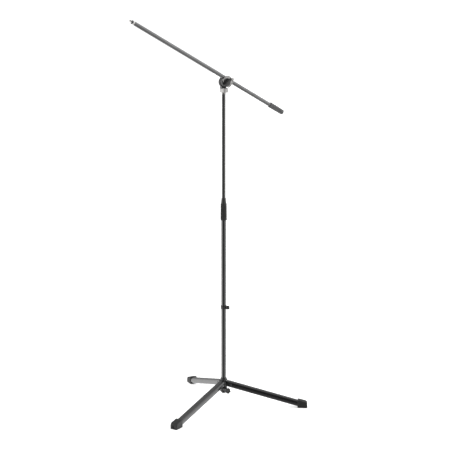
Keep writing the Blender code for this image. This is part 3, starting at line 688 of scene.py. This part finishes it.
def make_clutch_sleeve():
    """Twist sleeve with long flutes between plain bands."""
    start, end = ends_of("clutch_sleeve", COLUMN)
    bottom_r = radius_of("clutch_sleeve", COLUMN)
    top_r, bore, edge, flutes = 12.8 * MM, 11.9 * MM, 0.8 * MM, 24
    band, depth = 6.5 * MM, 0.75 * MM
    length = end - start

    def fluted(angle, r, z):
        if r < top_r - 2 * edge:
            return r
        fade = min(1.0, max(0.0, min(z - start - band, end - band - z) / (2.0 * MM)))
        groove = max(0.0, math.cos(flutes * angle)) ** 0.7
        return r - depth * fade * groove

    barrel = [start + band, *stepped(start + band, end - band, 26), end - band]
    walls = []
    for z in [start + edge, *barrel, end - edge]:
        walls.append((bottom_r + (top_r - bottom_r) * (z - start) / length, z))
    mouth_r = 9.0 * MM
    profile = [
        (bore, start), (bottom_r - edge, start), *walls, (top_r - edge, end), (mouth_r, end),
        (mouth_r, end - 4.0 * MM), (bore, end - 5.0 * MM),
    ]
    sleeve = lathe(profile, flutes * 8, fluted)
    piece("fluted_sleeve", sleeve, COLUMN, SLEEVE_RUBBER, "clutch_sleeve")


def make_clutch_cap():
    """Stepped cap, tapered towards the upper tube."""
    start, end = ends_of("clutch_cap", COLUMN)
    wide, bore = radius_of("clutch_cap", COLUMN), radius_of("upper_tube", COLUMN) + GAP
    profile = [
        (bore, start), (wide, start), (wide, start + 3.2 * MM), (wide - 0.5 * MM, start + 3.8 * MM),
        (wide - 0.5 * MM, start + 4.6 * MM), (wide - 0.3 * MM, start + 5.2 * MM),
        (wide - 0.9 * MM, start + 9.0 * MM), (9.4 * MM, end - 1.6 * MM),
        *arc((8.6 * MM, end - 0.8 * MM), 0.8 * MM, 0.0, QUARTER, 4), (bore, end),
    ]
    piece("clutch_cone", lathe(profile), COLUMN, KNOB_PLASTIC, "clutch_cap")


def make_cable_clip():
    """Sprung band round the tube, joined by a neck to an open C-shaped cable loop."""
    origin = COLUMN.translation
    low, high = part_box("cable_clip")
    centre = Vector(((low.x + high.x) / 2, (low.y + high.y) / 2, 0.0))
    place = placed(origin, UP, centre - Vector((origin.x, origin.y, 0.0)))
    bottom, top = low.z, high.z
    bore, outer, soft = radius_of("lower_tube", COLUMN) + GAP, 12.7 * MM, 1.2 * MM
    band = [
        (bore, bottom), *arc((outer - soft, bottom + soft), soft, -QUARTER, 0.0, 4),
        *arc((outer - soft, top - soft), soft, 0.0, QUARTER, 4), (bore, top),
    ]
    loop_centre, loop_r, loop_bore = 19.4 * MM, 7.5 * MM, 5.2 * MM
    mouth, half_gap = math.radians(50.0), math.radians(17.0)
    wall_mid, wall_half = (loop_r + loop_bore) / 2, (loop_r - loop_bore) / 2
    begin, finish = mouth + half_gap, mouth - half_gap + FULL_TURN
    outline = arc((0, 0), loop_r, begin, finish, 56)
    tip = (wall_mid * math.cos(finish), wall_mid * math.sin(finish))
    outline += arc(tip, wall_half, finish, finish + math.pi, 6)[1:-1]
    outline += arc((0, 0), loop_bore, finish, begin, 56)
    tip = (wall_mid * math.cos(begin), wall_mid * math.sin(begin))
    outline += arc(tip, wall_half, begin - math.pi, begin, 6)[1:-1]
    loop = rounded(extruded(outline, bottom + MM, top - MM), 0.5 * MM, 3, math.radians(60.0))
    neck_half, neck_height = 3.0 * MM, (bottom + 2 * MM, top - 2 * MM)
    neck = block((bore + MM, loop_centre - loop_bore), (-neck_half, neck_half), neck_height)
    shapes = joined(lathe(band), moved(loop, shift(loop_centre)), rounded(neck, 0.7 * MM, 2))
    piece("cable_clip_moulding", shapes, place, CLIP_PLASTIC, "cable_clip")


def make_top_stud():
    """Bright neck collar with a waist, above the plug that holds it in the tube."""
    start, end = ends_of("top_stud", COLUMN)
    collar_r = radius_of("top_stud", COLUMN)
    tube_top = ends_of("upper_tube", COLUMN)[1] + GAP
    block_bottom = extent("swivel_base", COLUMN)[0].z - GAP
    soft, plug_r, thread_r = 0.7 * MM, 6.5 * MM, 4.7 * MM
    profile = [
        (0, start), (plug_r, start), (plug_r, tube_top), (collar_r - soft, tube_top),
        (collar_r, tube_top + soft), (collar_r, tube_top + 2.2 * MM),
        (collar_r - soft, tube_top + 2.8 * MM), (collar_r - soft, block_bottom - 2.0 * MM),
        (collar_r, block_bottom - 1.4 * MM),
        (collar_r, block_bottom - soft / 2), (collar_r - soft, block_bottom), (thread_r, block_bottom),
        (thread_r, end), (0, end),
    ]
    piece("neck_collar", lathe(profile), COLUMN, NICKEL, "top_stud")


# Head


def upright(bm):
    """Stand a shape turned about Z on the head's X axis."""
    return moved(bm, turn(QUARTER, "Y"))


def make_swivel_base():
    """Plated block, raised at the front, with holes below for the stud and the two screws."""
    low, high = extent("swivel_base", HEAD)
    rise, soft, roof = 2.3 * MM, 2.2 * MM, 2.5 * MM
    top = high.x - rise
    outline = [
        (low.x, low.z), (top, low.z), (top, 8.0 * MM), (high.x, 11.0 * MM), (high.x, high.z),
        (low.x, high.z),
    ]
    body = rounded(moved(extruded(outline, low.y, high.y), SIDE_ON), soft, 5, math.radians(60.0))
    under, hole_r = low.x - 2 * soft, 5.06 * MM
    cutters = [upright(rod(hole_r, under, top - roof, 48))]
    screw_low, screw_high = extent("ear_screw_2", HEAD)
    sink_r, shank_r, sink = screw_high.z + GAP, 1.55 * MM, 2.3 * MM
    screw_y = (screw_low.y + screw_high.y) / 2
    for y in (-screw_y, screw_y):
        profile = [
            (0, under), (sink_r, under), (sink_r, low.x + sink), (shank_r, low.x + sink),
            (shank_r, top + soft), (0, top + soft),
        ]
        cutters.append(moved(upright(lathe(profile, 32)), shift(y=y)))
    piece("swivel_block", carved(body, *cutters), HEAD, NICKEL, "swivel_base")


def make_ear_screws():
    """Pan heads with a cross recess."""
    for node in ("ear_screw_1", "ear_screw_2"):
        low, high = extent(node, HEAD)
        y, head_r, shank_r = (low.y + high.y) / 2, high.z, 1.25 * MM
        soft, head_top = 0.4 * MM, low.x + 2.0 * MM
        profile = [
            (0, low.x), (head_r - soft, low.x), (head_r, low.x + soft), (head_r, head_top),
            (shank_r, head_top), (shank_r, high.x), (0, high.x),
        ]
        reach, slot = 1.4 * MM, 0.3 * MM
        depth = (low.x - slot, low.x + 3 * slot)
        cross = [
            block(depth, (-reach, reach), (-slot, slot)), block(depth, (-slot, slot), (-reach, reach)),
        ]
        screw = carved(upright(lathe(profile, 32)), *cross)
        piece(node.replace("ear", "cross_head"), moved(screw, shift(y=y)), HEAD, ZINC_STEEL, node)


def make_tilt_ear():
    """Round ear with a stepped rim and a ribbed, hexagon-seated back, on a thick stem."""
    low, high = extent("tilt_ear", HEAD)
    ear_r, back, front = high.x, -6.0 * MM, high.z
    rim, step, soft = 2.6 * MM, 1.0 * MM, 1.2 * MM
    bore, seat_r, dish_in, shoulder_r = BOLT_HOLE_R, 7.8 * MM, 11.0 * MM, ear_r - 0.6 * MM
    profile = [
        (bore, back), (dish_in, back), (dish_in + 0.5 * MM, back + step),
        (ear_r - rim - soft, back + step), (ear_r - rim, back),
        *arc((ear_r - soft, back + soft), soft, -QUARTER, 0.0, 4), (ear_r, front - soft - step),
        (shoulder_r, front - soft), (shoulder_r, front - 0.4 * MM), (ear_r - MM, front), (bore, front),
    ]
    seat = rod(seat_r, back - soft, back + 3.0 * MM, 6)
    parts = [carved(lathe(profile), seat)]
    ribs, rib_half, rib_depth = 8, 0.7 * MM, (back + 0.2 * MM, back + 2.0 * MM)
    for i in range(ribs):
        rib = block((dish_in - MM, ear_r - rim + MM), (-rib_half, rib_half), rib_depth)
        parts.append(moved(rib, turn(FULL_TURN * (i + 0.5) / ribs)))
    half = extent("swivel_base", HEAD)[1].y - 0.5 * MM
    stem = block((low.x, -9.8 * MM), (-half, half), (low.z, high.z))
    parts.append(rounded(stem, 1.6 * MM, 4, math.radians(50.0)))
    piece("tilt_ear_casting", joined(*parts), HEAD, HEAD_CASTING, "tilt_ear")


def make_saddle():
    """Round casting with ringed sides, stepped and grooved for the boom."""
    low, high = extent("boom_saddle", BOOM_CLAMP)
    axis = BOOM_CLAMP.inverted() @ BOOM.translation
    tube_r = radius_of("boom_tube", BOOM)
    saddle_r, soft, ring, bore = high.y, 1.5 * MM, 0.7 * MM, BOLT_HOLE_R
    centre_up = low.x + saddle_r
    back, front = low.z, high.z
    profile = [(bore, back), *arc((saddle_r - soft, back + soft), soft, -QUARTER, 0.0, 4)]
    for z in stepped(back + 2 * soft, front - 2 * soft, 3):
        profile += [(saddle_r, z - ring), (saddle_r - ring, z), (saddle_r, z + ring)]
    profile += [*arc((saddle_r - soft, front - soft), soft, 0.0, QUARTER, 4), (bore, front)]
    body = moved(lathe(profile), shift(centre_up))
    over = block((axis.x, BEYOND), (-BEYOND, BEYOND), (axis.z - tube_r - GAP, BEYOND))
    groove = rod(tube_r + GAP, -BEYOND, BEYOND, 64)
    groove = moved(groove, shift(axis.x, 0.0, axis.z) @ SIDE_ON)
    saddle = carved(body, over, groove, rod(bore, -BEYOND, BEYOND, 48))
    piece("boom_saddle_casting", saddle, BOOM_CLAMP, HEAD_CASTING, "boom_saddle")


def make_clamp_plate():
    """Plated cover: rounded crown, straight flank ending in a horn, sunk middle, lip over the boom."""
    low, high = extent("clamp_plate", BOOM_CLAMP)
    axis = BOOM_CLAMP.inverted() @ BOOM.translation
    crown, crown_r = (5.0 * MM, -1.0 * MM), 22.0 * MM
    rim, sunk, boss_r = 2.6 * MM, 1.5 * MM, 16.2 * MM
    outline = [
        *arc(crown, crown_r, math.radians(-15.0), math.radians(110.0), 40),
        (-10.0 * MM, 8.0 * MM), (-14.0 * MM, -3.0 * MM), (-16.5 * MM, -12.0 * MM),
        (-16.0 * MM, -17.0 * MM), (-13.0 * MM, -20.5 * MM), (-5.0 * MM, -23.5 * MM),
        (4.0 * MM, -24.8 * MM), (26.0 * MM, -23.2 * MM), (28.5 * MM, -21.5 * MM),
        (28.5 * MM, -17.5 * MM), (26.0 * MM, -12.5 * MM),
    ]
    pocket_outline = [
        *arc(crown, crown_r - rim, math.radians(-20.0), math.radians(105.0), 40),
        (-8.0 * MM, 8.0 * MM), (-12.0 * MM, -6.0 * MM), (-13.0 * MM, -13.0 * MM),
        (-11.0 * MM, -17.0 * MM), (-3.0 * MM, -20.2 * MM), (6.0 * MM, -21.0 * MM),
        (18.0 * MM, -20.0 * MM),
    ]
    body = rounded(extruded(outline, low.z, high.z), 1.3 * MM, 4)
    pocket = extruded(pocket_outline, high.z - sunk, high.z + sunk)
    around = rod(boss_r, low.z, high.z + 2 * sunk, 64)
    lip_bottom = axis.x + radius_of("boom_tube", BOOM) + GAP
    back = extent("boom_saddle", BOOM_CLAMP)[1].z + GAP
    hollow = block((-BEYOND, lip_bottom), (-BEYOND, BEYOND), (low.z - sunk, back))
    plate = carved(body, carved(pocket, around), hollow, rod(BOLT_HOLE_R, 0, BEYOND, 48))
    piece("clamp_cover", plate, BOOM_CLAMP, NICKEL, "clamp_plate")


def make_tilt_bolt():
    """Hexagon head with a turned-down crown, on a threaded shank."""
    low, high = extent("tilt_bolt", HEAD)
    head_top, head_r, crown_r, soft = low.z + 4.5 * MM, 7.3 * MM, 6.0 * MM, 0.6 * MM
    hexagon = rod(head_r, low.z + 0.4 * MM, head_top, 6)
    crown_top = low.z + soft
    crown = lathe([(0, low.z), (crown_r - soft, low.z), (crown_r, crown_top), (0, crown_top)], 48)
    shank = threaded(head_top - MM, high.z, 4.0 * MM, 1.25 * MM)
    bolt = joined(hexagon, crown, shank)
    piece("hexagon_bolt", bolt, HEAD, ZINC_STEEL, "tilt_bolt", smooth=THREAD_ANGLE)


def make_washer():
    """Wide black washer with two rings turned in its face; its black also stands in for painted shade
    inside the clamp plate's sunk middle.
    """
    back, front = ends_of("thrust_washer", HEAD)
    outer, bore, soft = radius_of("thrust_washer", HEAD), BOLT_HOLE_R, 0.4 * MM
    rings, floor = [], front - soft
    for r in (outer - 1.6 * MM, outer - 4.2 * MM):
        rings += [(r, front), (r - soft / 2, floor), (r - 3 * soft, floor), (r - 3.5 * soft, front)]
    profile = [
        (bore, back), (outer - soft, back), (outer, back + soft), (outer, front - soft),
        (outer - soft, front), *rings, (bore, front),
    ]
    # Black plastic: a real washer, whose black face also paints the shade in the clamp plate's sunk
    # pocket.
    piece("slip_washer", lathe(profile), HEAD, KNOB_PLASTIC, "thrust_washer")


def make_wing_knob():
    """T-shaped knob: domed hub with a rounded bar across it, hollowed for the fingers."""
    place = BOOM_CLAMP @ turn(KNOB_ANGLE)
    low, high = extent("wing_knob", place)
    back, front = low.z, high.z
    reach, half, tip_half, hub_r = high.x, 6.2 * MM, 5.2 * MM, 8.4 * MM
    bar_back, soft, bolt_r, straight = back + 4.0 * MM, 2.2 * MM, BOLT_HOLE_R, 6.0 * MM
    outline = [
        *arc((reach - tip_half, 0), tip_half, -QUARTER, QUARTER, 16), (straight, half),
        (-straight, half), *arc((tip_half - reach, 0), tip_half, QUARTER, 3 * QUARTER, 16),
        (-straight, -half), (straight, -half),
    ]
    bar = rounded(extruded(outline, bar_back, front), soft, 5, math.radians(50.0))
    pad_r, pad_depth = 14.0 * MM, 1.3 * MM
    pad_x, pad_y = reach - 1.6 * tip_half, half + pad_r - pad_depth
    hollows = []
    for x in (-pad_x, pad_x):
        for y in (-pad_y, pad_y):
            hollows.append(moved(rod(pad_r, bar_back - soft, front - soft, 96), shift(x, y)))
    bar = carved(bar, *hollows)
    nut_end, nut_r, bolt_end = back + 6.8 * MM, 6.6 * MM, extent("tilt_bolt", HEAD)[1].z + GAP
    dome, dome_r = front - 1.2 * MM, 2.5 * MM
    hub = lathe([
        (bolt_r, back + MM), (hub_r - MM, back), (hub_r, back + MM), (hub_r, back + 5.0 * MM),
        *arc((hub_r - 0.5 * MM - dome_r, dome - dome_r), dome_r, 0.0, QUARTER, 5),
        (0, dome), (0, bolt_end), (bolt_r, bolt_end),
    ], 72)
    hub = carved(hub, rod(nut_r, back - MM, nut_end, 6))
    bar = carved(bar, rod(bolt_r, back - MM, bolt_end, 36))
    piece("bar_knob", joined(hub, bar), place, KNOB_PLASTIC, "wing_knob")


# Boom


def make_thread_adapter():
    """Bright shoulder with a groove, and a threaded stub."""
    start, end = ends_of("thread_adapter", BOOM)
    tube_end = ends_of("boom_tube", BOOM)[1] + GAP
    thread_at = ends_of("lock_nut", BOOM)[0] - GAP
    plug_r, shoulder_r, soft = 6.6 * MM, 7.1 * MM, 0.5 * MM
    groove = (tube_end + thread_at) / 2
    shoulder = lathe([
        (0, start), (plug_r, start), (plug_r, tube_end), (shoulder_r - soft, tube_end),
        (shoulder_r, tube_end + soft), (shoulder_r, groove - soft), (shoulder_r - soft, groove),
        (shoulder_r, groove + soft), (shoulder_r, thread_at - soft), (shoulder_r - soft, thread_at),
        (0, thread_at),
    ])
    stub = threaded(thread_at - soft, end, STUB_R, 1.6 * MM)
    tip = joined(shoulder, stub)
    piece("threaded_tip", tip, BOOM, BRIGHT_NICKEL, "thread_adapter", smooth=THREAD_ANGLE)


def make_lock_nut():
    """Dark ring nut, knurled round its rim."""
    back, front = ends_of("lock_nut", BOOM)
    rim = radius_of("lock_nut", BOOM) - 0.1 * MM
    teeth, depth, chamfer, bore = 40, 0.45 * MM, 0.8 * MM, STUB_R + 0.35 * MM

    def knurl(angle, r, z):
        return r - depth * abs(math.sin(teeth * angle / 2)) if r > rim - 0.1 * MM else r

    ring = [
        (bore, back), (rim - chamfer, back), (rim, back + 0.7 * MM), (rim, front - 0.7 * MM),
        (rim - chamfer, front), (bore, front),
    ]
    piece("knurled_nut", lathe(ring, teeth * 6, knurl), BOOM, DARK_STEEL, "lock_nut")


def make_grip():
    """Rubber sleeve: lipped mouth, finely ringed barrel, rounded closed end."""
    end, start = ends_of("boom_grip", BOOM)
    tube_start = ends_of("boom_tube", BOOM)[0] - GAP
    bore, lip_r = radius_of("boom_tube", BOOM) + GAP, radius_of("boom_grip", BOOM)
    end_r, start_r, round_r = 10.3 * MM, 11.2 * MM, 5.0 * MM
    pitch, depth, ring_rows = 3.0 * MM, 0.35 * MM, 130
    low, high = end + round_r, start - 4.0 * MM
    rings = []
    for z in stepped(low, high, ring_rows):
        t = (z - low) / (high - low)
        fade = min(1.0, min(t, 1.0 - t) * 12.0)
        wave = max(0.0, math.cos(FULL_TURN * (z - low) / pitch)) ** 2
        rings.append((end_r + (start_r - end_r) * t - depth * fade * wave, z))
    profile = [
        (0, end), *arc((end_r - round_r, low), round_r, -QUARTER, 0.0, 8), *rings, (start_r, high),
        (lip_r - 0.2 * MM, high + 0.6 * MM), (lip_r, high + 1.2 * MM), (lip_r, start - 0.6 * MM),
        (lip_r - 0.6 * MM, start), (bore, start), (bore, tube_start), (0, tube_start),
    ]
    piece("rubber_grip", lathe(profile), BOOM, GRIP_RUBBER, "boom_grip")


def keep_hidden_parts():
    """Pieces inside others, shown as they are."""
    keep("clutch_body", KNOB_PLASTIC)
    keep("clutch_collet", NATURAL_NYLON)
    keep("tube_end_plug", KNOB_PLASTIC)
    keep("friction_disc", SLEEVE_RUBBER)
    keep("guide_plug", NATURAL_NYLON)
    keep("knob_nut", TURNED_BRASS)


# Studio


FRONT_LEVEL = 0.06
SIDE_LEVEL = 2.1
RIGHT_LEVEL = 0.5
BACK_LEVEL = 0.55
TOP_LEVEL = 0.5
GROUND_LEVEL = 0.9
BACKDROP_LEVEL = 1.15
FLOOR_RADIUS = 40.0
FLOOR_DROP = 0.2 * MM
FLOOR_GLOW = 0.5
SOFTBOX_PLACE = (0.2, 0.2, 4.2)
SOFTBOX_TARGET = (0.0, 0.0, 1.0)
SOFTBOX_SIZE = (3.0, 3.0)
SOFTBOX_POWER = 15.0
CAMERA_OFFSET = (5.5 * MM, -4.40, 1.553)
CAMERA_PITCH = math.radians(80.0)
FOCAL_LENGTH = 86.56


def make_stage():
    """Pale floor that glows a little and stays out of reflections."""
    floor = bmesh.new()
    bmesh.ops.create_circle(floor, cap_ends=True, radius=FLOOR_RADIUS, segments=64)
    mesh = bpy.data.meshes.new("studio_floor")
    floor.to_mesh(mesh)
    floor.free()
    material = bpy.data.materials.new("pale_floor")
    material.use_nodes = True
    shader = material.node_tree.nodes["Principled BSDF"]
    shader.inputs["Base Color"].default_value = (0.93, 0.93, 0.93, 1.0)
    shader.inputs["Roughness"].default_value = 0.9
    shader.inputs["Specular IOR Level"].default_value = 0.0
    shader.inputs["Emission Color"].default_value = (1.0, 1.0, 1.0, 1.0)
    shader.inputs["Emission Strength"].default_value = FLOOR_GLOW
    mesh.materials.append(material)
    obj = bpy.data.objects.new("studio_floor", mesh)
    obj.location.z = -FLOOR_DROP
    obj.visible_glossy = False
    bpy.context.scene.collection.objects.link(obj)


def make_world():
    """White surroundings: bright panels at both sides and above, a dim wall behind the viewer."""
    world = bpy.data.worlds.new("studio")
    bpy.context.scene.world = world
    world.use_nodes = True
    tree = world.node_tree
    direction = add_node(tree, "TexCoord").outputs["Generated"]
    parts = add_node(tree, "SeparateXYZ", {"Vector": direction})
    x, y, z = (parts.outputs[axis] for axis in "XYZ")
    aside = add_node(tree, "Math", {0: x}, operation="ABSOLUTE").outputs[0]
    panels = [
        (remap(tree, aside, 0.45, 0.85, 0.0, SIDE_LEVEL), None),
        (remap(tree, x, 0.45, 0.85, 0.0, RIGHT_LEVEL), remap(tree, z, -0.1, 0.25, 0.0, 1.0)),
        (remap(tree, y, -0.2, 0.5, 0.0, BACK_LEVEL), None),
        (remap(tree, z, 0.5, 0.9, 0.0, TOP_LEVEL), None),
        (remap(tree, z, -0.2, -0.6, 0.0, GROUND_LEVEL), None),
    ]
    level = FRONT_LEVEL
    for panel, limit in panels:
        if limit:
            panel = add_node(tree, "Math", {0: panel, 1: limit}, operation="MULTIPLY").outputs[0]
        level = add_node(tree, "Math", {0: panel, 1: level}, operation="ADD").outputs[0]
    seen = add_node(tree, "LightPath").outputs["Is Camera Ray"]
    sockets = {"Factor": seen, "A": level, "B": BACKDROP_LEVEL}
    shown = add_node(tree, "Mix", sockets, data_type="FLOAT").outputs["Result"]
    background = tree.nodes["Background"]
    tree.links.new(shown, background.inputs["Strength"])
    background.inputs["Color"].default_value = (1.0, 1.0, 1.0, 1.0)


def area_light(name, location, target, size, power):
    data = bpy.data.lights.new(name, "AREA")
    data.shape = "RECTANGLE"
    data.size, data.size_y = size
    data.energy = power
    obj = bpy.data.objects.new(name, data)
    bpy.context.scene.collection.objects.link(obj)
    obj.location = location
    obj.rotation_euler = (Vector(target) - Vector(location)).to_track_quat("-Z", "Y").to_euler()


def make_camera():
    """Eye-high view from 4.4 m in front, looking a little down."""
    data = bpy.data.cameras.new("camera")
    data.sensor_width = 36.0
    data.lens = FOCAL_LENGTH
    obj = bpy.data.objects.new("camera", data)
    bpy.context.scene.collection.objects.link(obj)
    obj.location = COLUMN.translation + Vector(CAMERA_OFFSET)
    obj.rotation_euler = (CAMERA_PITCH, 0.0, 0.0)
    bpy.context.scene.camera = obj


make_legs()
make_leg_pins()
make_feet()
make_hub()
make_clamp_knob()
make_clamp_screw()
make_tube("lower_column_tube", "lower_tube", COLUMN)
make_tube("upper_column_tube", "upper_tube", COLUMN)
make_lock_cone()
make_clutch_sleeve()
make_clutch_cap()
make_cable_clip()
make_top_stud()
make_swivel_base()
make_ear_screws()
make_tilt_ear()
make_saddle()
make_clamp_plate()
make_tilt_bolt()
make_washer()
make_wing_knob()
make_tube("boom_arm", "boom_tube", BOOM, BOOM_COAT)
make_thread_adapter()
make_lock_nut()
make_grip()
keep_hidden_parts()
make_stage()
make_world()
area_light("top_softbox", SOFTBOX_PLACE, SOFTBOX_TARGET, SOFTBOX_SIZE, SOFTBOX_POWER)
make_camera()
bpy.context.scene.view_settings.view_transform = "Standard"
